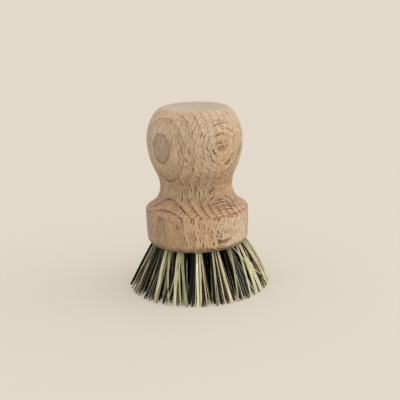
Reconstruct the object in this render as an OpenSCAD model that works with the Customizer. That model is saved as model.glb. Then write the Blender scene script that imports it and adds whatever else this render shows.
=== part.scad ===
// Palm brush: a turned beech handle with stapled tufts of natural fibre, standing on its cut tips.
// Heights of the handle's features are measured from its underside.

/* [Handle] */
// Diameter of the collar, just under its rim
collar_d = 52; // [46:0.5:60]
// Widest diameter of the knob
knob_d = 48; // [43:0.5:54]
// Diameter of the neck
neck_d = 36.4; // [31:0.2:40]
// Height of the handle
handle_h = 68.8; // [66:0.2:73]
// Height of the collar's rim
rim_at = 17; // [15:0.2:19]
// Height of the narrowest place of the neck
neck_at = 29.2; // [27:0.2:32]
// Height of the widest place of the knob
knob_at = 53.1; // [51:0.1:55]

/* [Turned curves] */
// Radius of the collar's slightly swelling side
barrel_r = 300; // [150:10:600]
// Radius of the edge round the underside
foot_r = 3.6; // [2:0.1:5]
// Radius of the rim on top of the collar
rim_r = 2; // [1:0.1:3]
// Radius of the hollow between the neck and the knob
throat_r = 15.8; // [10:0.2:22]
// Radius of the knob above its widest place
dome_r = 21.3; // [19:0.1:24]
// Radius of the edge round the flat top
brow_r = 6.8; // [4:0.1:8]

/* [Tufts] */
// Length of the trim: from the tips up to the underside of the handle
trim_h = 23.2; // [18:0.2:28]
// Distance from the outer row of holes to the collar's side
hole_margin = 6.2; // [5.5:0.1:7.5]
// Number of tufts in the outer row
outer_count = 16; // [12:1:17]
// Number of tufts in the middle row
middle_count = 11; // [8:1:12]
// Number of tufts in the inner row
inner_count = 6; // [4:1:6]
// Angle at which the outer row of holes leans outwards; the inner rows lean less
outer_lean = 25; // [18:1:26]
// Gap between the sprays of neighbouring tufts at the tips
spray_gap = 0.3; // [0.2:0.1:2]
// Number of strands in each tuft
strand_count = 22; // [12:1:24]
// Diameter of a strand
strand_d = 0.5; // [0.3:0.05:0.5]

/* [Drilling and staples] */
// Diameter of a tuft hole
hole_d = 4.6; // [4:0.1:4.8]
// Depth of a tuft hole, without the drill's point
hole_depth = 9; // [8:0.1:10]
// Angle of the drill's point
drill_angle = 118; // [90:1:140]
// Diameter of the staple wire
wire_d = 0.8; // [0.6:0.05:0.9]
// Distance from the hole's full depth down to the middle of the staple's crown
crown_drop = 2.3; // [2.2:0.1:3]
// Length of staple leg that is driven into the wood
leg_grip = 4.5; // [3:0.1:6]
// Inner radius of the staple's two bends
bend_r = 0.5; // [0.3:0.05:0.7]
// Clearance between fibre and wood, and round the wire
clearance = 0.05; // [0.03:0.01:0.1]

/* [Hidden] */
$fn = 64;

beech = "#cfa27c";
fibre = "#a39a6c";
steel = "#b9b9b4";

// How far two turned curves run past each other where one passes into the next
cross = 0.001;
// Turn from one strand to the next that spreads them evenly, and from one tuft to the next
strand_turn = 137.508;
tuft_turn = 77;

collar_r = collar_d / 2;
knob_r = knob_d / 2;
neck_r = neck_d / 2;

function polar(centre, r, angle) = [centre[0] + r * cos(angle), centre[1] + r * sin(angle)];

// Underside edge and collar side
barrel_c = [collar_r - barrel_r, rim_at];
barrel_turn = asin((rim_at - foot_r) / (barrel_r - foot_r));
foot_c = polar(barrel_c, barrel_r - foot_r + cross, -barrel_turn);

// Rim, and the cove that runs from it to the neck
rim_c = [collar_r - rim_r, rim_at];
cove_turn = 2 * atan((collar_r - neck_r) / (neck_at - rim_at));
cove_r = (neck_at - rim_at) / sin(cove_turn) - rim_r;
cove_c = [neck_r + cove_r - cross, neck_at];

// Hollow throat above the neck, and the belly that it passes into
throat_c = [neck_r + throat_r, neck_at];
belly_turn = 2 * atan((knob_r - neck_r) / (knob_at - neck_at));
belly_r = (knob_at - neck_at) / sin(belly_turn) - throat_r;
belly_c = [knob_r - belly_r, knob_at];
// Where the core under the curves ends, well inside the belly
core_end = polar(belly_c, belly_r - neck_r / 2, -belly_turn);

// Dome over the widest place, and the edge round the flat top
dome_c = [knob_r - dome_r, knob_at];
dome_turn = asin((handle_h - knob_at - brow_r) / (dome_r - brow_r));
brow_c = polar(dome_c, dome_r - brow_r + cross, dome_turn);

hole_r = hole_d / 2;
point_h = hole_r / tan(drill_angle / 2);
row_pitch = (collar_r - hole_margin) / 3;

function lean(row) = outer_lean * row / 3;
function tip_radius(row) = row * row_pitch + trim_h * tan(lean(row));
function count(row) = [1, inner_count, middle_count, outer_count][row];
function phase(row) = [0, 0, 90 / middle_count, 0][row];
function azimuth(row, i) = phase(row) + 360 * i / count(row);

// Room for a tuft's spray at the tips, across and along its row
row_room = (tip_radius(3) - tip_radius(2) - strand_d - spray_gap) / 2;
function side_room(row) =
    row == 0 ? row_room : tip_radius(row) * sin(180 / count(row)) - (strand_d + spray_gap) / 2;

row_names = ["centre", "inner", "middle", "outer"];
function tuft_name(row, i) = row == 0 ? "tuft_centre" : str("tuft_", row_names[row], "_", i + 1);
function staple_name(row) = row == 0 ? "staple_centre" : str("staples_", row_names[row]);

module disc(centre, r) {
    translate(centre) circle(r, $fn = 256);
}

// Everything between two heights of the turned outline
module band(low, high) {
    translate([0, low]) square([2 * collar_r, high - low]);
}

// What a rounded edge takes off outside its arc, between two angles
module edge_waste(centre, r, from, to) {
    difference() {
        polygon([centre, polar(centre, 3 * r, from), polar(centre, 5 * r, (from + to) / 2), polar(centre, 3 * r, to)]);
        disc(centre, r);
    }
}

// Half of the turned outline, to the right of its axis
module handle_outline() {
    difference() {
        union() {
            intersection() {
                disc(barrel_c, barrel_r);
                band(0, rim_at);
            }
            intersection() {
                disc(rim_c, rim_r);
                band(rim_at, rim_at + 2 * rim_r);
            }
            polygon([[0, rim_at], rim_c, cove_c, throat_c, core_end, [0, knob_at]]);
            intersection() {
                disc(belly_c, belly_r);
                band(neck_at + rim_r, knob_at);
            }
            intersection() {
                disc(dome_c, dome_r);
                band(knob_at, handle_h);
            }
        }
        intersection() {
            disc(cove_c, cove_r);
            band(rim_at, neck_at);
        }
        intersection() {
            disc(throat_c, throat_r + cross);
            band(neck_at, knob_at);
        }
        edge_waste([foot_c[0], foot_r - cross], foot_r, -90, -barrel_turn);
        edge_waste([brow_c[0], handle_h - brow_r + cross], brow_r, dome_turn, 90);
    }
}

// Puts its children at a tuft hole: the origin is in the mouth, +Z runs into the wood along the
// hole's axis, +X leans away from the brush's axis and Y runs along the row
module at_hole(row, i) {
    rotate([0, 0, azimuth(row, i)])
        translate([row * row_pitch, 0, trim_h])
            rotate([0, -lean(row), 0])
                children();
}

// The drilled hole, with the two small holes that the staple's legs press open
module hole_cut() {
    translate([0, 0, -hole_r]) cylinder(h = hole_depth + hole_r, r = hole_r);
    translate([0, 0, hole_depth]) cylinder(h = point_h, r1 = hole_r, r2 = 0);
    for (side = [-1, 1])
        translate([0, side * leg_offset, hole_depth - wire_d])
            cylinder(h = leg_grip + wire_d + clearance, r = wire_d / 2 + clearance);
}

module handle() {
    color(beech)
        difference() {
            translate([0, 0, trim_h]) rotate_extrude() handle_outline();
            for (row = [0:3])
                for (i = [0:count(row) - 1])
                    at_hole(row, i) hole_cut();
        }
}

crown_at = hole_depth - crown_drop;
leg_offset = hole_r - wire_d / 2 - 2 * clearance;
bend_mid_r = bend_r + wire_d / 2;
leg_point_h = wire_d;

// Half of a staple and of the room it needs, when it is made thicker by spare on all sides
module staple_half(spare) {
    wire_r = wire_d / 2 + spare;
    leg_h = hole_depth + leg_grip - crown_at - bend_mid_r - leg_point_h;
    translate([0, 0, crown_at]) {
        rotate([-90, 0, 0]) cylinder(h = leg_offset - bend_mid_r, r = wire_r);
        translate([0, leg_offset - bend_mid_r, bend_mid_r])
            rotate([90, 0, 90])
                rotate_extrude(angle = 90, start = -90) translate([bend_mid_r, 0]) circle(wire_r);
        translate([0, leg_offset, bend_mid_r]) {
            cylinder(h = leg_h, r = wire_r);
            translate([0, 0, leg_h]) cylinder(h = leg_point_h, r1 = wire_r, r2 = wire_r / 3);
        }
    }
}

// The U of wire that holds a tuft at the bottom of its hole
module staple(spare = 0) {
    staple_half(spare);
    mirror([0, 1, 0]) staple_half(spare);
}

module staples(row) {
    color(steel)
        for (i = [0:count(row) - 1])
            at_hole(row, i) staple();
}

root_r = hole_r - clearance;
// The bound root ends this far up the hole, and each strand starts a little above that
root_end = 1.2;
strand_start = 2;
fold_w = leg_offset - wire_d / 2 - clearance;

// The doubled fibres in the hole: a tight round bundle that is folded over the staple's crown
module tuft_root() {
    difference() {
        union() {
            translate([0, 0, root_end]) cylinder(h = crown_at - root_end, r = root_r);
            intersection() {
                translate([0, 0, crown_at - wire_d]) cylinder(h = hole_depth, r = root_r);
                translate([0, fold_w, crown_at]) rotate([90, 0, 0]) cylinder(h = 2 * fold_w, r = crown_drop - clearance);
            }
        }
        staple(clearance);
    }
}

// Even spread over a disc of radius 1 for strand k of tuft i
function spread(k, i) =
    let (r = sqrt((k + 0.5) / strand_count), a = strand_turn * k + tuft_turn * i)
    [r * cos(a), r * sin(a)];

// Where a strand passes the height h of its hole, when mouth is the spread's radius there
function in_hole(row, u, mouth, h) = [
    row * row_pitch + mouth * u[0] * cos(lean(row)) - h * sin(lean(row)),
    mouth * u[1],
    trim_h + mouth * u[0] * sin(lean(row)) + h * cos(lean(row))
];

// A straight strand from one point to another
module strand(from, to) {
    run = to - from;
    length = norm(run);
    translate(from)
        rotate([0, acos(run[2] / length), atan2(run[1], run[0])])
            cylinder(h = length, d = strand_d, $fn = 16);
}

// The free strands of a tuft, spraying out from the mouth and cut level at the tips
module spray(row, i) {
    mouth = hole_r - strand_d / 2 - 2 * clearance;
    exit = -hole_r * tan(outer_lean);
    difference() {
        for (k = [0:strand_count - 1]) {
            u = spread(k, i);
            leave = in_hole(row, u, mouth, exit);
            tip = [tip_radius(row) + row_room * u[0], side_room(row) * u[1], 0];
            run = (tip - leave) / norm(tip - leave);
            strand(leave - run * (strand_start - exit), tip + run * strand_d);
        }
        translate([-collar_d, -collar_d, -trim_h]) cube([3 * collar_d, 2 * collar_d, trim_h]);
    }
}

module tuft(row, i) {
    color(fibre) {
        at_hole(row, i) tuft_root();
        rotate([0, 0, azimuth(row, i)]) spray(row, i);
    }
}

handle();
for (row = [0:3]) {
    for (i = [0:count(row) - 1])
        tuft(row, i);
    staples(row);
}
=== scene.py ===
# Palm brush: a turned beech handle over leaning tufts of mixed plant fibre, standing on its cut tips.
# Sizes are in metres, and in the materials and the tables below in millimetres where it says so.

import math
import random
from types import SimpleNamespace

import bpy
from mathutils import Matrix, Vector


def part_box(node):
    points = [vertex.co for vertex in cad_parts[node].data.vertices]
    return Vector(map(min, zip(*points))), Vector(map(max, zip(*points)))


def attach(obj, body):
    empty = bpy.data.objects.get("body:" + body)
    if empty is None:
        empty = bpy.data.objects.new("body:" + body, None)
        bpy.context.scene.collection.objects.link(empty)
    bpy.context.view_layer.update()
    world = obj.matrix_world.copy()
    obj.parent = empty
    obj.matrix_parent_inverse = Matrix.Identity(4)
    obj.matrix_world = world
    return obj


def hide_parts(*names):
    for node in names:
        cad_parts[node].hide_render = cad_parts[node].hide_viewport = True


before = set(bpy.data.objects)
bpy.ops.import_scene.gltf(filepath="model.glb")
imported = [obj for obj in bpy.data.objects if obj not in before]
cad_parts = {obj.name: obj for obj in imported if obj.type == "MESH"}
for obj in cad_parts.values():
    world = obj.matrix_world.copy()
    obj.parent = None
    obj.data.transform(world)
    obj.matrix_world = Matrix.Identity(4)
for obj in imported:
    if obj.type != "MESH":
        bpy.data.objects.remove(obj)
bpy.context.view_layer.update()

MM = 0.001

# The handle's underside is where the fibres come out
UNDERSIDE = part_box("handle")[0][2]

# Rows of tuft holes, from the centre outwards, as they are drilled
ROWS = ("centre", "inner", "middle", "outer")
MIDDLE_ROW = ROWS.index("middle")
OUTER_ROW = ROWS.index("outer")
OUTER_COUNT = sum(name.startswith("tuft_outer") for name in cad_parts)
ROW_PITCH = 6.6 * MM
OUTER_LEAN = math.radians(25)
HOLE_RADIUS = 2.3 * MM
HOLE_CLEARANCE = 0.4 * MM
ROOT_DEPTH = 3 * MM

# Below the mouth a strand flares by this much, and bends this many millimetres down
MOUTH_FLARE = 1.4
BEND_BELOW = (5, 7)

TIPS_RADIUS = 35.6 * MM
# The lowest tips clear the floor by a hair, so they don't show through it
TIP_GAP = 0.03 * MM

FIBRES_PER_TUFT = 66
FIBRE_SIDES = 6
FIBRE_JOINTS = 6
STRAND_SMOOTH = math.radians(50)
# Strands fill their hole as seeds fill a sunflower, each turned on by this angle in radians
SEED_TURN = 2.39996
TURN_SCATTER = 0.25
# Tips fill a square with round corners, so that neighbouring tufts meet, but stay off its outer edge
CORNER_FILL = -0.7
TIP_SCATTER = 0.1
TIP_LIMIT = 0.95
# About one strand in seven strays sideways at its tip, by up to this share of its tuft's room
STRAY_CHANCE = 0.15
STRAY_REACH = 0.6

# The fibre mix, from dark palm over brown palm and grey-green agave to pale agave: up to which draw each
# kind goes, how much a pale bunch takes from that, and its span of tone
FIBRE_MIX = (
    (0.62, 0.3, (0.0, 0.17)),
    (0.69, 0.3, (0.28, 0.4)),
    (0.86, 0.35, (0.46, 0.64)),
    (math.inf, 0.0, (0.72, 0.98)),
)
# How much the draw is lowered in the inner rows and at the inner side of a hole, partly for darker fibre
# there and partly as painted shade in the gaps between tufts, where in the hole that side begins, and how
# much the draw is raised at the back
DARKER_AND_SHADED_INSIDE = 0.2
INNER_SIDE = -0.3
PALER_BEHIND = 0.2
# Widths and thickness of strands, in millimetres, and how many are broad ones
FINE = (0.4, 0.6)
BROAD = (0.8, 1.2)
BROAD_CHANCE = 0.2
THICKNESS = (0.25, 0.35)

# Strands that stand out at the front: degrees right of the front at the mouth and at the tip, width in
# millimetres, tone, how far its middle bows outwards and how high its tip ends, both in millimetres
STANDOUTS = (
    (-88, -87, 1.2, 0.05, 0.5, 0), (-75, -64, 1.2, 0.82, 0, 0), (-44, -38, 1.6, 0.86, 0, 0),
    (-36, -25, 0.9, 0.8, 0, 0), (-27, -20, 1.5, 0.88, 0, 0), (-24, -15, 0.8, 0.8, 0, 0.5),
    (-20, -10, 1.5, 0.68, 0, 0), (-2, -1, 1.2, 1.0, 0, 0), (2, 1, 1.0, 0.88, 0, 0),
    (4, 6, 0.7, 0.8, 0, 0), (18, 14, 1.1, 0.78, 0, 0), (26, 26, 0.8, 0.92, 0, 0),
    (44, 32, 1.0, 0.74, 0, 0), (46, 70, 0.5, 1.0, 3.5, 7), (60, 46, 1.1, 0.9, 0, 0),
    (66, 54, 1.7, 0.94, 0.5, 0), (72, 62, 1.5, 1.0, 1, 0), (80, 70, 1.2, 0.94, 2, 0),
    (70, 74, 0.9, 0.36, 3, 0.5), (86, 78, 1.6, 0.92, 3, 0), (92, 86, 1.5, 0.88, 4, 1),
)
STANDOUT_THICK = 0.4 * MM
# They lie outside the others by this much, in the hole and at the bend
OUTSIDE_ROOT = 0.2 * MM
OUTSIDE_BEND = 0.7 * MM
# None starts further to the side of its hole than this share of the hole's radius
HOLE_SIDE_LIMIT = 0.8
# The leaning tip of one that ends higher lies further in, by this share of its height
TIP_INWARDS = 0.35

# The tufts at the right have been pressed out a little further, in millimetres, and the strands in the
# middle of a hole by this share of it
PRESSED_OUT = {"tuft_outer_1": 3.0, "tuft_outer_2": 2.0, "tuft_outer_16": 1.5, "tuft_outer_9": 0.8}
PRESSED_SHARE = 0.4

# Millimetres above the floor from which heights in the wood are counted, and three heights counted so:
# the handle's lower edge, the collar's rim and the narrowest place of the neck
WOOD_ZERO = 58.2
FOOT = -34.9
RIM = -18.0
NECK = -6.0

# Growth rings, in millimetres: their width, and the radius at which their count starts
RING_WIDTH = 3.66
RING_START = 87.4
# The large and the small kind of ray: the room for one and its half sizes, each along the ring, up and
# outwards in millimetres, and how many half widths beside it the wood is palest
RAYS = (((1.0, 4.2, 12.0), (0.24, 1.9, 5.0)), ((0.62, 2.9, 8.0), (0.14, 1.2, 3.4)))
RAY_BESIDE = 1.9
SHEET_SPACING = 1.6
# Places on the collar's wall, through and up in millimetres: where the fibres swirl and how that is
# stretched, and the middles and half sizes of the two ovals between which a ray lies bare
SWIRL_AT = (-8.5, -23.0)
SWIRL_STRETCH = (1.3, 1.1)
BARE_RAY = (((-6.9, -27.6), (3.8, 2.9)), ((-6.9, -26.5), (5.0, 2.0)))
# The log's pith: how far from the brush it stands, in millimetres, which way, and how it leans
PITH_AWAY = 110.0
PITH_TURN = math.radians(-46.5)
PITH_LEANS = (0.027, -0.012)

# The studio paper's colour, the share of it that the camera sees unlit, and how strong the surround is
PAPER = "#e0d7c8"
PAPER_GLOW = 0.3
SURROUND = 0.68
# Suns: strength, spread in degrees and the direction they stand in
SUNS = {"key": (1.2, 150, (0.85, -0.25, 0.85)), "rim_right": (1.15, 70, (1.0, 0.05, 0.1))}

random.seed(34)


def linear(hex_colour):
    """Turns an sRGB hex colour to the linear RGBA that a socket takes."""
    parts = [int(hex_colour[k:k + 2], 16) / 255 for k in (1, 3, 5)]
    return [c / 12.92 if c <= 0.04045 else ((c + 0.055) / 1.055) ** 2.4 for c in parts] + [1.0]


def add(tree, kind, inputs=None, **settings):
    """Adds a node; a socket among the inputs is linked and any other value is set.

    Inputs go by number where a node has several of one name. A Map Range takes its value as 0, the span
    it comes from as 1 and 2, and the span it goes to as 3 and 4. A Mix takes its share as 0, two numbers as
    2 and 3, and two colours, the one below and the one laid over it, as 6 and 7. A Scale takes its factor
    as 3.
    """
    node = tree.nodes.new(kind)
    for key, value in settings.items():
        setattr(node, key, value)
    for key, value in (inputs or {}).items():
        if isinstance(value, bpy.types.NodeSocket):
            tree.links.new(value, node.inputs[key])
        else:
            node.inputs[key].default_value = value
    return node


def new_material(name):
    """Gives an empty material's node tree and its Principled shader, linked to the output."""
    material = bpy.data.materials.new(name)
    material.use_nodes = True
    tree = material.node_tree
    tree.nodes.clear()
    shader = add(tree, "ShaderNodeBsdfPrincipled")
    add(tree, "ShaderNodeOutputMaterial", {"Surface": shader.outputs[0]})
    return material, tree, shader


def set_stops(ramp, stops):
    """Sets a colour ramp's stops from pairs of place and hex colour."""
    while len(ramp.elements) < len(stops):
        ramp.elements.new(1.0)
    for element, (place, colour) in zip(ramp.elements, stops):
        element.position = place
        element.color = linear(colour)


def log_axes(tree):
    """Where a point of the handle lies in the log, in millimetres, and which way its face looks.

    Through runs outwards from the pith and sideways along the rings, both from the brush's middle line;
    radius and along are the same two, measured round the pith. Barkwards, ringwards and upwards say how
    squarely a face looks to or from the pith, along the rings, and up or down.
    """
    coords = add(tree, "ShaderNodeTexCoord").outputs
    place = add(tree, "ShaderNodeVectorMath", {0: coords["Object"], 3: 1000.0}, operation="SCALE").outputs[0]
    turned = add(tree, "ShaderNodeMapping", {"Vector": place, "Rotation": (0, 0, PITH_TURN)})
    through, sideways, rise = add(tree, "ShaderNodeSeparateXYZ", {0: turned.outputs[0]}).outputs
    height = add(tree, "ShaderNodeMath", {0: rise, 1: -WOOD_ZERO}, operation="ADD").outputs[0]

    # The pith leans a little, so the rings drift along the height
    out, side = [
        add(tree, "ShaderNodeMath", {0: height, 1: lean, 2: way}, operation="MULTIPLY_ADD").outputs[0]
        for lean, way in zip(PITH_LEANS, (through, sideways))
    ]
    out = add(tree, "ShaderNodeMath", {0: out, 1: PITH_AWAY}, operation="ADD").outputs[0]
    flat = add(tree, "ShaderNodeCombineXYZ", {0: out, 1: side}).outputs[0]
    radius = add(tree, "ShaderNodeVectorMath", {0: flat}, operation="LENGTH").outputs["Value"]
    angle = add(tree, "ShaderNodeMath", {0: side, 1: out}, operation="ARCTAN2").outputs[0]
    along = add(tree, "ShaderNodeMath", {0: angle, 1: PITH_AWAY}, operation="MULTIPLY").outputs[0]
    fibre = add(tree, "ShaderNodeCombineXYZ", {0: along, 1: radius, 2: height}).outputs[0]

    facing = add(tree, "ShaderNodeMapping", {"Vector": coords["Normal"], "Rotation": (0, 0, PITH_TURN)})
    facing = add(tree, "ShaderNodeSeparateXYZ", {0: facing.outputs[0]}).outputs
    barkwards, ringwards, upwards = [
        add(tree, "ShaderNodeMath", {0: part}, operation="ABSOLUTE").outputs[0] for part in facing
    ]
    return SimpleNamespace(
        place=place, through=through, sideways=sideways, height=height, radius=radius, along=along,
        fibre=fibre, barkwards=barkwards, ringwards=ringwards, upwards=upwards,
    )


def lie_of_faces(tree, log):
    """Adds to the log's axes how much of each kind of figure a face shows, by the way it was cut."""
    # How far a face cuts across the fibres: none on upright walls, full in the coves, little on the flat top
    across = add(tree, "ShaderNodeValToRGB", {0: log.upwards})
    set_stops(across.color_ramp, [(0.1, "#000000"), (0.6, "#ffffff"), (0.85, "#ffffff"), (0.98, "#555555")])
    log.across = across.outputs[0]
    # The flat top is sanded end grain, with faint rays
    log.faint = add(tree, "ShaderNodeMapRange", {0: log.upwards, 1: 0.85, 2: 0.98, 3: 1.0, 4: 0.3}).outputs[0]

    # A face towards the bark spreads the rings out, and cuts the rays to short spindles
    log.spindle = add(tree, "ShaderNodeMapRange",
                      {0: log.barkwards, 1: 0.8, 2: 1.0, 3: 1.0, 4: 0.7}).outputs[0]
    spread = add(tree, "ShaderNodeMath", {0: log.barkwards, 1: log.across}, operation="MAXIMUM").outputs[0]
    log.line_side = add(tree, "ShaderNodeMapRange", {0: spread, 1: 0.82, 2: 0.93, 3: 0.3, 4: 1.0}).outputs[0]
    log.ring_side = add(tree, "ShaderNodeMapRange", {0: spread, 1: 0.15, 2: 0.75, 3: 0.2, 4: 1.0}).outputs[0]

    # A face that looks along the rings lies along the rays: fewer dashes, and their sheets show instead
    log.along_rays = add(tree, "ShaderNodeMapRange", {0: log.ringwards, 1: 0.86, 2: 0.95}).outputs[0]
    log.dashes = add(tree, "ShaderNodeMapRange",
                     {0: log.ringwards, 1: 0.9, 2: 0.98, 3: 1.0, 4: 0.35}).outputs[0]

    # The collar's wall, and the handle's lower half, which starts in the neck
    log.wall = add(tree, "ShaderNodeMapRange", {0: log.height, 1: RIM - 1, 2: RIM, 3: 1.0, 4: 0.0}).outputs[0]
    log.low = add(tree, "ShaderNodeMapRange", {0: log.height, 1: NECK + 14, 2: NECK - 8}).outputs[0]

    # The upper half is sanded finer, so its end grain shows less
    sanded = add(tree, "ShaderNodeMath", {0: log.low, 1: -0.5, 2: 0.5}, operation="MULTIPLY_ADD").outputs[0]
    sanded = add(tree, "ShaderNodeMath", {0: sanded, 1: log.across}, operation="MULTIPLY").outputs[0]
    log.sanded = add(tree, "ShaderNodeMath", {0: 1.0, 1: sanded}, operation="SUBTRACT").outputs[0]


def growth_rings(tree, log):
    """Rings: pale early wood that greys towards a thin dark line, wandering by tenths of a millimetre.

    Gives the wood's colour, the count of rings, the share of the year and the strength of the dark line.
    """
    wander = add(tree, "ShaderNodeTexNoise", {"Vector": log.place, "Scale": 0.07, "Detail": 2.0}).outputs[0]
    wander = add(tree, "ShaderNodeMath", {0: wander, 1: -0.5 - RING_START}, operation="ADD").outputs[0]
    rings = add(tree, "ShaderNodeMath", {0: log.radius, 1: wander}, operation="ADD").outputs[0]
    rings = add(tree, "ShaderNodeMath", {0: rings, 1: RING_WIDTH}, operation="DIVIDE").outputs[0]
    year = add(tree, "ShaderNodeMath", {0: rings}, operation="FRACT").outputs[0]
    colour = add(tree, "ShaderNodeValToRGB", {0: year})
    set_stops(colour.color_ramp, [(0.0, "#e4c8a9"), (0.5, "#dfc4a6"), (1.0, "#ccb194")])
    colour = add(tree, "ShaderNodeMix", {0: log.ring_side, 6: linear("#ddc2a3"), 7: colour.outputs[0]},
                 data_type="RGBA").outputs[2]

    # The line is broader where a face cuts across the fibres, most of all low down
    broader = add(tree, "ShaderNodeMapRange", {0: log.low, 3: 0.03, 4: 0.11}).outputs[0]
    line = add(tree, "ShaderNodeMath", {0: log.across, 1: broader, 2: year},
               operation="MULTIPLY_ADD").outputs[0]
    line = add(tree, "ShaderNodeMapRange", {0: line, 1: 0.915, 2: 0.965}).outputs[0]

    # It is weaker on the collar's wall and on upright faces, and breaks off now and then
    on_wall = add(tree, "ShaderNodeMapRange", {0: log.height, 1: RIM - 3, 2: RIM, 3: 0.3, 4: 1.0}).outputs[0]
    upright = add(tree, "ShaderNodeMapRange", {0: log.across, 1: 0.0, 2: 0.7, 3: 0.3, 4: 1.0}).outputs[0]
    breaks = add(tree, "ShaderNodeVectorMath", {0: log.fibre, 1: (0.5, 0.5, 0.3)},
                 operation="MULTIPLY").outputs[0]
    breaks = add(tree, "ShaderNodeTexNoise", {"Vector": breaks, "Scale": 1.0, "Detail": 1.0}).outputs[0]
    breaks = add(tree, "ShaderNodeMapRange", {0: breaks, 1: 0.38, 2: 0.58, 3: 0.45, 4: 1.0}).outputs[0]
    for weaker in (on_wall, log.line_side, upright, breaks, log.sanded):
        line = add(tree, "ShaderNodeMath", {0: line, 1: weaker}, operation="MULTIPLY").outputs[0]
    return colour, rings, year, line


def ray_dashes(tree, log):
    """Rays: thin upright lenses that run straight out from the pith.

    Gives the strength of their dark flecks and of the paler wood at one side of each.
    """
    flecks = []
    besides = []
    spot = add(tree, "ShaderNodeCombineXYZ", {0: log.along, 1: log.height, 2: log.radius}).outputs[0]
    for room, half in RAYS:
        to_cells = [1 / r for r in room]
        cells = add(tree, "ShaderNodeVectorMath", {0: spot, 1: to_cells}, operation="MULTIPLY").outputs[0]
        ray = add(tree, "ShaderNodeTexVoronoi", {"Vector": cells, "Scale": 1.0}).outputs
        away = add(tree, "ShaderNodeVectorMath", {0: cells, 1: ray["Position"]},
                   operation="SUBTRACT").outputs[0]
        to_lens = [r / h for r, h in zip(room, half)]
        away = add(tree, "ShaderNodeVectorMath", {0: away, 1: to_lens}, operation="MULTIPLY").outputs[0]
        beside = add(tree, "ShaderNodeVectorMath", {0: away, 1: (RAY_BESIDE, 0.0, 0.0)},
                     operation="ADD").outputs[0]
        beside = add(tree, "ShaderNodeVectorMath", {0: beside}, operation="LENGTH").outputs["Value"]
        beside = add(tree, "ShaderNodeMapRange", {0: beside, 1: 0.5, 2: 1.2, 3: 0.42, 4: 0.0}).outputs[0]

        # Each ray has its own size and depth of colour
        lot = add(tree, "ShaderNodeSeparateColor", {0: ray["Color"]}).outputs
        size = add(tree, "ShaderNodeMapRange", {0: lot[1], 3: 1.5, 4: 0.8}).outputs[0]
        depth = add(tree, "ShaderNodeMapRange", {0: lot[0], 3: 0.55, 4: 1.0}).outputs[0]
        away = add(tree, "ShaderNodeVectorMath", {0: away}, operation="LENGTH").outputs["Value"]
        away = add(tree, "ShaderNodeMath", {0: away, 1: size}, operation="MULTIPLY").outputs[0]
        lens = add(tree, "ShaderNodeMapRange", {0: away, 1: 0.6, 2: 1.1, 3: 1.0, 4: 0.0}).outputs[0]
        for part, parts in ((lens, flecks), (beside, besides)):
            parts.append(add(tree, "ShaderNodeMath", {0: part, 1: depth}, operation="MULTIPLY").outputs[0])

    fleck, beside = [
        add(tree, "ShaderNodeMath", {0: parts[0], 1: parts[1]}, operation="MAXIMUM").outputs[0]
        for parts in (flecks, besides)
    ]
    for weaker in (log.dashes, log.spindle, log.faint, log.sanded):
        fleck, beside = [
            add(tree, "ShaderNodeMath", {0: part, 1: weaker}, operation="MULTIPLY").outputs[0]
            for part in (fleck, beside)
        ]
    return fleck, beside


def collar_distance(tree, log, centre, scale):
    """How far a point is from a place on the collar's wall, through and up, as a stretched round distance."""
    away = add(tree, "ShaderNodeCombineXYZ", {0: log.through, 1: log.height}).outputs[0]
    away = add(tree, "ShaderNodeVectorMath", {0: away, 1: (-centre[0], -centre[1], 0.0)}, operation="ADD")
    away = add(tree, "ShaderNodeVectorMath", {0: away.outputs[0], 1: (*scale, 1.0)}, operation="MULTIPLY")
    return add(tree, "ShaderNodeVectorMath", {0: away.outputs[0]}, operation="LENGTH").outputs["Value"]


def ray_sheets(tree, log):
    """Broken ovals that the edges of the rays' sheets draw where a face lies along them.

    On the collar's wall they close round a point where the fibres swirl.
    """
    swirl = collar_distance(tree, log, SWIRL_AT, SWIRL_STRETCH)
    near_swirl = add(tree, "ShaderNodeMapRange", {0: swirl, 1: 6.0, 2: 9.0, 3: 0.9, 4: 0.0}).outputs[0]
    shown = add(tree, "ShaderNodeMix", {0: log.wall, 2: log.along_rays, 3: near_swirl}).outputs[0]
    sheets = add(tree, "ShaderNodeMix", {0: log.wall, 2: log.along, 3: swirl}).outputs[0]

    # Evenly spaced edges, bent by a slow noise and broken by a quicker one
    curls = add(tree, "ShaderNodeTexNoise", {"Vector": log.place, "Scale": 0.3, "Detail": 1.0}).outputs[0]
    sheets = add(tree, "ShaderNodeMath", {0: curls, 1: 0.7, 2: sheets}, operation="MULTIPLY_ADD").outputs[0]
    sheets = add(tree, "ShaderNodeMath", {0: sheets, 1: SHEET_SPACING / 2}, operation="PINGPONG").outputs[0]
    sheets = add(tree, "ShaderNodeMapRange", {0: sheets, 1: 0.1, 2: 0.3, 3: 0.85, 4: 0.0}).outputs[0]
    gaps = add(tree, "ShaderNodeVectorMath", {0: log.fibre, 1: (1.3, 0.35, 0.35)},
               operation="MULTIPLY").outputs[0]
    gaps = add(tree, "ShaderNodeTexNoise", {"Vector": gaps, "Scale": 1.0, "Detail": 1.0}).outputs[0]
    gaps = add(tree, "ShaderNodeMapRange", {0: gaps, 1: 0.44, 2: 0.6}).outputs[0]

    # Fainter on the side away from the front
    far_side = add(tree, "ShaderNodeMapRange", {0: log.sideways, 1: -5.0, 2: 5.0, 3: 1.0, 4: 0.55}).outputs[0]
    for weaker in (gaps, shown, far_side):
        sheets = add(tree, "ShaderNodeMath", {0: sheets, 1: weaker}, operation="MULTIPLY").outputs[0]
    return sheets


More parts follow.
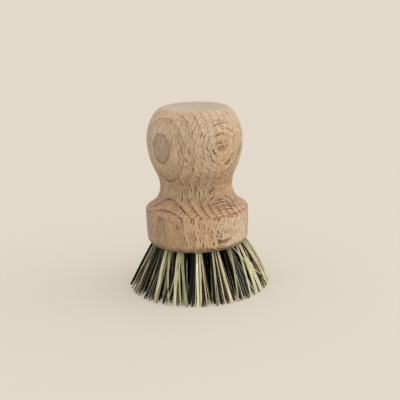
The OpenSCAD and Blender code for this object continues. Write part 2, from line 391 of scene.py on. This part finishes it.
def bare_ray(tree, log):
    """One ray lies bare low on the collar's near side, as a brown crescent between two ovals."""
    ovals = []
    for centre, half in BARE_RAY:
        oval = collar_distance(tree, log, centre, [1 / h for h in half])
        ovals.append(add(tree, "ShaderNodeMapRange", {0: oval, 1: 0.94, 2: 1.06, 3: 1.0, 4: 0.0}).outputs[0])
    crescent = add(tree, "ShaderNodeMath", {0: ovals[0], 1: ovals[1]}, operation="SUBTRACT", use_clamp=True)
    near_side = add(tree, "ShaderNodeMath", {0: log.sideways, 1: 0.0}, operation="LESS_THAN").outputs[0]
    strength = add(tree, "ShaderNodeMath", {0: near_side, 1: 0.85}, operation="MULTIPLY").outputs[0]
    return add(tree, "ShaderNodeMath", {0: crescent.outputs[0], 1: strength}, operation="MULTIPLY").outputs[0]


def wood_tints(tree, log, colour, rings, year):
    """Tones that lie over the rings: clouds, the heart's side, where light has been, and painted shade on the
    neck and along the lower edge.
    """
    # Clouds of slightly greyer and pinker wood
    clouds = add(tree, "ShaderNodeTexNoise", {"Vector": log.place, "Scale": 0.05, "Detail": 2.0}).outputs[0]
    clouds = add(tree, "ShaderNodeValToRGB", {0: clouds})
    set_stops(clouds.color_ramp, [(0.35, "#eae7e2"), (0.65, "#fff8f2")])

    # Greyer on the heart's side of the ring that the count starts at
    heart = add(tree, "ShaderNodeMapRange", {0: rings, 1: -0.12, 2: 0.12, 3: 0.5, 4: 0.0}).outputs[0]

    # Cut fibres drink light, more so low down, at the sides of the lower cove and late in each year
    thirst = add(tree, "ShaderNodeMath", {0: log.low, 1: 0.22, 2: 0.06}, operation="MULTIPLY_ADD").outputs[0]
    thirst = add(tree, "ShaderNodeMath", {0: log.across, 1: thirst}, operation="MULTIPLY").outputs[0]
    cove_side = add(tree, "ShaderNodeMapRange",
                    {0: log.ringwards, 1: 0.6, 2: 0.72, 3: 0.0, 4: 0.55}).outputs[0]
    late = add(tree, "ShaderNodeMapRange", {0: year, 1: 0.35, 2: 0.95, 3: 0.0, 4: 0.45}).outputs[0]
    for part in (log.across, log.low):
        cove_side, late = [
            add(tree, "ShaderNodeMath", {0: tint, 1: part}, operation="MULTIPLY").outputs[0]
            for tint in (cove_side, late)
        ]

    # Painted shade round the narrowest place of the neck, under the knob's overhang
    neck_shade = add(tree, "ShaderNodeMath", {0: log.height, 1: -NECK}, operation="ADD").outputs[0]
    neck_shade = add(tree, "ShaderNodeMath", {0: neck_shade}, operation="ABSOLUTE").outputs[0]
    neck_shade = add(tree, "ShaderNodeMapRange", {0: neck_shade, 1: 3.0, 2: 11.0, 3: 0.36, 4: 0.0}).outputs[0]

    # The flat top is greyed end grain, most of all towards the bark
    ends = add(tree, "ShaderNodeMapRange", {0: log.faint, 1: 0.3, 2: 1.0, 3: 1.0, 4: 0.0}).outputs[0]
    ends_side = add(tree, "ShaderNodeMapRange",
                    {0: log.through, 1: -14.0, 2: 4.0, 3: 0.5, 4: 0.95}).outputs[0]
    ends = add(tree, "ShaderNodeMath", {0: ends, 1: ends_side}, operation="MULTIPLY").outputs[0]

    # Painted shade along the lower edge, just above the fibres
    foot_shade = add(tree, "ShaderNodeMapRange",
               {0: log.height, 1: FOOT, 2: FOOT + 4.4, 3: 0.75, 4: 0.0}).outputs[0]

    # Faces along the rays have a silvery sheen, palest on the collar's wall
    silver = add(tree, "ShaderNodeMix", {0: log.low, 6: linear("#fdf7ea"), 7: linear("#fffdfa")},
                 data_type="RGBA").outputs[2]
    pale_wall = add(tree, "ShaderNodeMath", {0: log.along_rays, 1: log.wall}, operation="MULTIPLY").outputs[0]
    pale_wall = add(tree, "ShaderNodeMath", {0: pale_wall, 1: 0.22}, operation="MULTIPLY").outputs[0]

    for share, tint, blend in (
            (1.0, clouds.outputs[0], "MULTIPLY"),
            (heart, linear("#b79f86"), "MIX"),
            (log.low, linear("#fbf0e1"), "MULTIPLY"),
            (thirst, linear("#ab7444"), "MIX"),
            (cove_side, linear("#7f5530"), "MIX"),
            (late, linear("#93673e"), "MIX"),
            (neck_shade, linear("#9a7d5c"), "MIX"),
            (ends, linear("#b7a38d"), "MIX"),
            (foot_shade, linear("#8a744f"), "MIX"),
            (log.along_rays, silver, "MULTIPLY"),
            (pale_wall, linear("#fff0da"), "MIX")):
        mix = add(tree, "ShaderNodeMix", {0: share, 6: colour, 7: tint}, data_type="RGBA", blend_type=blend)
        colour = mix.outputs[2]
    return colour


def beech():
    """Raw steamed beech, turned and sanded: matt, pale pinkish brown, with a fine silky grain.

    Growth rings show as wide ovals and arches where the blank's bark side faces out, and the wood's
    rays as short brown dashes that open into flecks where a face runs along them. The coves cut
    across the fibres, so they drink more light and the figure is stronger there.
    """
    material, tree, shader = new_material("raw_beech")
    log = log_axes(tree)
    lie_of_faces(tree, log)
    colour, rings, year, line = growth_rings(tree, log)
    fleck, beside = ray_dashes(tree, log)
    sheets = ray_sheets(tree, log)
    crescent = bare_ray(tree, log)
    colour = wood_tints(tree, log, colour, rings, year)

    # Fibre grain: streaks half a millimetre wide and four millimetres long, with finer ones among them
    streaks = add(tree, "ShaderNodeVectorMath", {0: log.fibre, 1: (2.0, 1.8, 0.26)},
                  operation="MULTIPLY").outputs[0]
    grain = add(tree, "ShaderNodeTexNoise", {"Vector": streaks, "Scale": 1.0, "Detail": 3.0}).outputs[0]
    grain_tone = add(tree, "ShaderNodeMapRange", {0: grain, 1: 0.3, 2: 0.7, 3: 0.66, 4: 1.27}).outputs[0]
    colour = add(tree, "ShaderNodeVectorMath", {0: colour, 3: grain_tone}, operation="SCALE").outputs[0]

    for share, tint in ((beside, "#f5dcc0"), (sheets, "#6d492b"), (crescent, "#8e5f3a"),
                        (line, "#67401c"), (fleck, "#43260f")):
        colour = add(tree, "ShaderNodeMix", {0: share, 6: colour, 7: linear(tint)},
                     data_type="RGBA").outputs[2]
    tree.links.new(colour, shader.inputs["Base Color"])

    rough = add(tree, "ShaderNodeMapRange", {0: grain, 1: 0.3, 2: 0.7, 3: 0.7, 4: 0.55}).outputs[0]
    tree.links.new(rough, shader.inputs["Roughness"])
    shader.inputs["IOR"].default_value = 1.45
    shader.inputs["Sheen Weight"].default_value = 0.1
    shader.inputs["Sheen Roughness"].default_value = 0.5

    # The rays lie a little deeper than the grain
    relief = add(tree, "ShaderNodeMath", {0: fleck, 1: -0.8, 2: grain}, operation="MULTIPLY_ADD").outputs[0]
    bump = add(tree, "ShaderNodeBump", {"Height": relief, "Strength": 0.35, "Distance": 0.06 * MM})
    tree.links.new(bump.outputs[0], shader.inputs["Normal"])
    return material


def plant_fibre():
    """Union fibre, a mix of pale agave and dark palm strips: dry, faintly glossy along the strand.

    Each strand carries its own tone, thin darker streaks run along it, and painted shade darkens it near the
    handle, where the strands are held tight in their holes.
    """
    material, tree, shader = new_material("union_plant_fibre")
    tone = add(tree, "ShaderNodeAttribute", attribute_name="tone").outputs["Fac"]
    along = add(tree, "ShaderNodeAttribute", attribute_name="along").outputs["Fac"]
    breadth = add(tree, "ShaderNodeAttribute", attribute_name="breadth").outputs["Fac"]
    colour = add(tree, "ShaderNodeValToRGB", {0: tone})
    set_stops(colour.color_ramp, [
        (0.0, "#060504"), (0.2, "#15110d"), (0.36, "#553825"), (0.5, "#5f6a5b"),
        (0.66, "#9a9872"), (0.82, "#d6c999"), (1.0, "#fff7cd"),
    ])
    # Streaks a third of a millimetre broad and a fifth of the strand long, with a pattern for each tone
    spot = add(tree, "ShaderNodeCombineXYZ", {0: along, 1: tone, 2: breadth}).outputs[0]
    spot = add(tree, "ShaderNodeVectorMath", {0: spot, 1: (5.0, 400.0, 3000.0)},
               operation="MULTIPLY").outputs[0]
    streak = add(tree, "ShaderNodeTexNoise", {"Vector": spot, "Scale": 1.0, "Detail": 2.0}).outputs[0]
    streak = add(tree, "ShaderNodeMapRange", {0: streak, 1: 0.3, 2: 0.7, 3: 0.55, 4: 1.2}).outputs[0]
    # Painted shade near the handle, darkening the strands where they come out of the wood
    root_shade = add(tree, "ShaderNodeMapRange", {0: along, 1: 0.12, 2: 0.4, 3: 0.65, 4: 1.0}).outputs[0]
    streak = add(tree, "ShaderNodeMath", {0: streak, 1: root_shade}, operation="MULTIPLY").outputs[0]
    colour = add(tree, "ShaderNodeVectorMath", {0: colour.outputs[0], 3: streak},
                 operation="SCALE").outputs[0]
    tree.links.new(colour, shader.inputs["Base Color"])
    shader.inputs["Roughness"].default_value = 0.55
    shader.inputs["IOR"].default_value = 1.5
    shader.inputs["Specular IOR Level"].default_value = 0.3
    return material


def drawn_wire():
    """Bright drawn steel wire: smooth, with faint lines from the die, a tenth of a millimetre apart."""
    material, tree, shader = new_material("drawn_steel_wire")
    place = add(tree, "ShaderNodeTexCoord").outputs["Object"]
    spot = add(tree, "ShaderNodeVectorMath", {0: place, 1: (9000.0, 9000.0, 600.0)},
               operation="MULTIPLY").outputs[0]
    lines = add(tree, "ShaderNodeTexNoise", {"Vector": spot, "Scale": 1.0}).outputs[0]
    rough = add(tree, "ShaderNodeMapRange", {0: lines, 3: 0.25, 4: 0.45}).outputs[0]
    tree.links.new(rough, shader.inputs["Roughness"])
    shader.inputs["Base Color"].default_value = linear("#b9b9b4")
    shader.inputs["Metallic"].default_value = 1.0
    return material


def paper_floor():
    """Smooth warm-grey studio paper; the camera sees part of it unlit, so shadows stay faint."""
    material, tree, shader = new_material("studio_paper")
    paper = linear(PAPER)
    shader.inputs["Base Color"].default_value = paper
    shader.inputs["Roughness"].default_value = 1.0
    shader.inputs["Specular IOR Level"].default_value = 0.0
    seen = add(tree, "ShaderNodeLightPath").outputs["Is Camera Ray"]
    glow = add(tree, "ShaderNodeEmission", {"Color": paper, "Strength": seen}).outputs[0]
    mixed = add(tree, "ShaderNodeMixShader", {0: PAPER_GLOW, 1: shader.outputs[0], 2: glow}).outputs[0]
    output = next(n for n in tree.nodes if n.type == "OUTPUT_MATERIAL")
    tree.links.new(mixed, output.inputs["Surface"])
    return material


def dress(piece, material):
    """Gives a piece its finish."""
    piece.data.materials.clear()
    piece.data.materials.append(material)


def fibre_blank():
    """One straight strand of unit length and width, with a ring at every joint, to be bent and sized."""
    bpy.ops.object.select_all(action="DESELECT")
    step = 1 / FIBRE_JOINTS
    bpy.ops.mesh.primitive_cylinder_add(
        vertices=FIBRE_SIDES, radius=0.5, depth=step, location=(0, 0, step / 2))
    blank = bpy.context.object
    blank.name = "strand_blank"
    bpy.ops.object.transform_apply(location=True, rotation=True, scale=True)
    bpy.ops.object.mode_set(mode="EDIT")
    bpy.ops.mesh.select_mode(type="FACE")
    bpy.ops.mesh.select_all(action="DESELECT")
    bpy.ops.object.mode_set(mode="OBJECT")
    for face in blank.data.polygons:
        face.select = face.normal.z > 0.9
    bpy.ops.object.mode_set(mode="EDIT")
    for _ in range(FIBRE_JOINTS - 1):
        bpy.ops.mesh.extrude_region_move(TRANSFORM_OT_translate={"value": (0, 0, step)})
    bpy.ops.object.mode_set(mode="OBJECT")
    for name in ("tone", "along", "breadth"):
        blank.data.attributes.new(name, "FLOAT", "POINT")
    return blank


def bend_fibre(blank, path, width, thick, flat_side, tone):
    """A copy of the blank that follows three points, as a strip of the given width and thickness."""
    mesh = blank.data.copy()
    start, middle, end = path
    for index, vertex in enumerate(mesh.vertices):
        x, y, s = vertex.co
        centre = start * (1 - s) ** 2 + middle * (2 * s * (1 - s)) + end * s ** 2
        run = ((middle - start) * (1 - s) + (end - middle) * s).normalized()
        across = (flat_side - run * flat_side.dot(run)).normalized()
        spot = centre + across * (x * width) + run.cross(across) * (y * thick)
        # The tip is cut level
        if s > 0.999:
            spot += run * ((centre.z - spot.z) / run.z)
        vertex.co = spot
        for name, value in (("tone", tone), ("along", s), ("breadth", x * width)):
            mesh.attributes[name].data[index].value = value
    strand = bpy.data.objects.new("strand", mesh)
    bpy.context.collection.objects.link(strand)
    return strand


def row_lean(row):
    """How far a row's holes lean outwards."""
    return OUTER_LEAN * row / OUTER_ROW


def in_hole(row, spread, depth):
    """A point in a tuft hole of a row at azimuth zero: spread across it, and depth up into the wood."""
    lean = row_lean(row)
    return Vector((
        row * ROW_PITCH + spread[0] * math.cos(lean) - depth * math.sin(lean),
        spread[1],
        UNDERSIDE + spread[0] * math.sin(lean) + depth * math.cos(lean),
    ))


def tip_ring(row):
    """Radius of the ring on which a row's tufts end."""
    return row * ROW_PITCH + UNDERSIDE * math.tan(row_lean(row))


def azimuth(row, index, count):
    """Where a tuft stands in its row; the middle row is turned by a quarter of its spacing."""
    phase = 90 / count if row == MIDDLE_ROW else 0
    return math.radians(phase + 360 * index / count)


def pick_strand(bunch, paler):
    """Tone, width and thickness of a strand, drawn from the fibre mix.

    Bunch, up to one, makes pale strands likelier, and so does paler, which is below zero for darker ones.
    """
    draw = random.random() + paler
    tones = next(tones for up_to, taken, tones in FIBRE_MIX if draw < up_to - taken * bunch)
    tone = random.uniform(*tones)
    width = random.uniform(*FINE)
    if random.random() < BROAD_CHANCE:
        width = random.uniform(*BROAD)
    return tone, width * MM, min(width, random.uniform(*THICKNESS)) * MM


def held_end(row, hole_spot):
    """Start and bend of a strand at azimuth zero, from its place in the hole."""
    inside = HOLE_RADIUS - HOLE_CLEARANCE
    start = in_hole(row, [c * inside for c in hole_spot], ROOT_DEPTH)
    bend = in_hole(row, [c * inside * MOUTH_FLARE for c in hole_spot], -random.uniform(*BEND_BELOW) * MM)
    return start, bend


def from_front(degrees, turn_angle):
    """An angle to the right of the brush's front, as seen from a tuft's own azimuth, within half a turn."""
    return (math.radians(degrees - 90) - turn_angle + math.pi) % math.tau - math.pi


def bunch_of_strands(name, row, turn_angle, side_room, blank):
    """The strands that fill a tuft, drawn at random."""
    turn = Matrix.Rotation(turn_angle, 3, "Z")
    row_room = (tip_ring(OUTER_ROW) - tip_ring(MIDDLE_ROW)) / 2
    pale_side = random.uniform(0, 2 * math.pi)
    strands = []
    for k in range(FIBRES_PER_TUFT):
        reach = math.sqrt((k + 0.5) / FIBRES_PER_TUFT)
        around = SEED_TURN * k + random.uniform(-TURN_SCATTER, TURN_SCATTER)
        spot = (reach * math.cos(around), reach * math.sin(around))
        squared = max(abs(math.cos(around)), abs(math.sin(around))) ** CORNER_FILL
        stray = random.uniform(-STRAY_REACH, STRAY_REACH) if random.random() < STRAY_CHANCE else 0.0
        tip_out = min(TIP_LIMIT, spot[0] * squared + random.uniform(-TIP_SCATTER, TIP_SCATTER))
        tip_side = spot[1] * squared + random.uniform(-TIP_SCATTER, TIP_SCATTER) + stray
        # Inner strands are mostly dark, partly as painted shade in the gaps between tufts, and the back has
        # no picked-out ones, so it is drawn paler
        if row < OUTER_ROW or spot[0] < INNER_SIDE:
            paler = -DARKER_AND_SHADED_INSIDE
        else:
            paler = max(0.0, PALER_BEHIND * math.sin(turn_angle))
        tone, width, thick = pick_strand(reach * max(0.0, math.cos(around - pale_side)) ** 2, paler)
        # Half of the tips end within about a tenth of a millimetre, and the others up to one higher
        tip_height = TIP_GAP + random.random() ** 3 * MM
        start, bend = held_end(row, spot)
        # A pressed tuft bows outwards, its outer strands the most
        bend.x += PRESSED_OUT.get(name, 0.0) * MM * max(0.0, PRESSED_SHARE + spot[0])
        end = Vector((tip_ring(row) + tip_out * row_room, tip_side * side_room, tip_height))
        path = [turn @ point for point in (start, bend, end)]
        flat_side = turn @ Vector((random.uniform(-TURN_SCATTER, TURN_SCATTER), 1.0, 0.0))
        strands.append(bend_fibre(blank, path, width, thick, flat_side, tone))
    return strands


def standing_out(index, count, turn_angle, blank):
    """The picked-out strands that come from a tuft of the outer row."""
    turn = Matrix.Rotation(turn_angle, 3, "Z")
    strands = []
    for mouth_turn, tip_turn, width, tone, bow, lift in STANDOUTS:
        if round(math.radians(mouth_turn - 90) / math.tau * count) % count != index:
            continue
        mouth_side = from_front(mouth_turn, turn_angle) * OUTER_ROW * ROW_PITCH
        hole_side = max(-HOLE_SIDE_LIMIT, min(HOLE_SIDE_LIMIT, mouth_side / HOLE_RADIUS))
        start, bend = held_end(OUTER_ROW, (math.sqrt(1 - hole_side ** 2), hole_side))
        start.x += OUTSIDE_ROOT
        bend.x += bow * MM + OUTSIDE_BEND
        tip_turned = from_front(tip_turn, turn_angle)
        tip_out = TIPS_RADIUS - lift * MM * TIP_INWARDS
        end = Vector((tip_out * math.cos(tip_turned), tip_out * math.sin(tip_turned), TIP_GAP + lift * MM))
        path = [turn @ point for point in (start, bend, end)]
        strands.append(bend_fibre(blank, path, width * MM, STANDOUT_THICK, Vector((1.0, 0.0, 0.0)), tone))
    return strands


def tuft(name, row, index, count, blank):
    """One tuft: strands that rise bound in their hole and splay out to level-cut tips."""
    turn_angle = azimuth(row, index, count)
    # The centre tuft has no neighbours in its row, so it takes as much room as an outer one
    if row == 0:
        side_room = tip_ring(OUTER_ROW) * math.pi / OUTER_COUNT
    else:
        side_room = tip_ring(row) * math.sin(math.pi / count)
    strands = bunch_of_strands(name, row, turn_angle, side_room, blank)
    if row == OUTER_ROW:
        strands += standing_out(index, count, turn_angle, blank)
    bpy.ops.object.select_all(action="DESELECT")
    for strand in strands:
        strand.select_set(True)
    bpy.context.view_layer.objects.active = strands[0]
    bpy.ops.object.join()
    piece = bpy.context.object
    piece.name = name + "_fibres"
    piece.data.name = piece.name
    return piece


def make_tufts(material):
    """Replaces every tuft's solid by its strands."""
    blank = fibre_blank()
    for row, row_name in enumerate(ROWS):
        names = [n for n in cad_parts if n.startswith("tuft_" + row_name)]
        names.sort(key=lambda n: int(n.rsplit("_", 1)[1]) if row else 0)
        for index, name in enumerate(names):
            piece = tuft(name, row, index, len(names), blank)
            dress(piece, material)
            bpy.ops.object.shade_smooth_by_angle(angle=STRAND_SMOOTH)
            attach(piece, "root")
            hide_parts(name)
    bpy.data.objects.remove(blank, do_unlink=True)


def make_camera():
    """The photograph's view: a little above, looking down at the brush, the horizon slightly turned."""
    looks_down = math.radians(15.25)
    horizon_turn = math.radians(-1.78)
    data = bpy.data.cameras.new("camera")
    data.sensor_width = 36.0
    data.lens = 75.33
    data.clip_start = 0.01
    camera = bpy.data.objects.new("camera", data)
    bpy.context.collection.objects.link(camera)
    camera.location = (1.7 * MM, -410.9 * MM, 155.9 * MM)
    look = Matrix.Rotation(math.pi / 2 - looks_down, 4, "X") @ Matrix.Rotation(horizon_turn, 4, "Z")
    camera.rotation_euler = look.to_euler()
    bpy.context.scene.camera = camera


def make_studio():
    """Pale paper floor, a broad soft key from the right, a low sharper light there and an even surround."""
    bpy.ops.object.select_all(action="DESELECT")
    bpy.ops.mesh.primitive_plane_add(size=40.0, location=(0, 0, 0))
    floor = bpy.context.object
    floor.name = "floor"
    floor.data.materials.append(paper_floor())

    for name, (energy, spread, towards) in SUNS.items():
        light = bpy.data.lights.new(name, "SUN")
        light.energy = energy
        light.angle = math.radians(spread)
        lamp = bpy.data.objects.new(name, light)
        bpy.context.collection.objects.link(lamp)
        lamp.rotation_euler = Vector(towards).to_track_quat("Z", "Y").to_euler()

    # The camera, and what glints or shines through, see the paper's colour; all else is lit by plain white
    world = bpy.data.worlds.new("surround")
    bpy.context.scene.world = world
    world.use_nodes = True
    tree = world.node_tree
    tree.nodes.clear()
    path = add(tree, "ShaderNodeLightPath").outputs
    seen = path["Is Camera Ray"]
    for ray in ("Is Glossy Ray", "Is Transmission Ray"):
        seen = add(tree, "ShaderNodeMath", {0: seen, 1: path[ray]}, operation="MAXIMUM").outputs[0]
    light = add(tree, "ShaderNodeBackground", {"Color": (1, 1, 1, 1), "Strength": SURROUND}).outputs[0]
    backdrop = add(tree, "ShaderNodeBackground", {"Color": linear(PAPER), "Strength": 1.0}).outputs[0]
    mixed = add(tree, "ShaderNodeMixShader", {0: seen, 1: light, 2: backdrop}).outputs[0]
    add(tree, "ShaderNodeOutputWorld", {"Surface": mixed})
    bpy.context.scene.view_settings.view_transform = "Standard"


make_camera()
make_studio()
dress(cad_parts["handle"], beech())
wire = drawn_wire()
for node_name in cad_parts:
    if node_name.startswith("staple"):
        dress(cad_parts[node_name], wire)
make_tufts(plant_fibre())
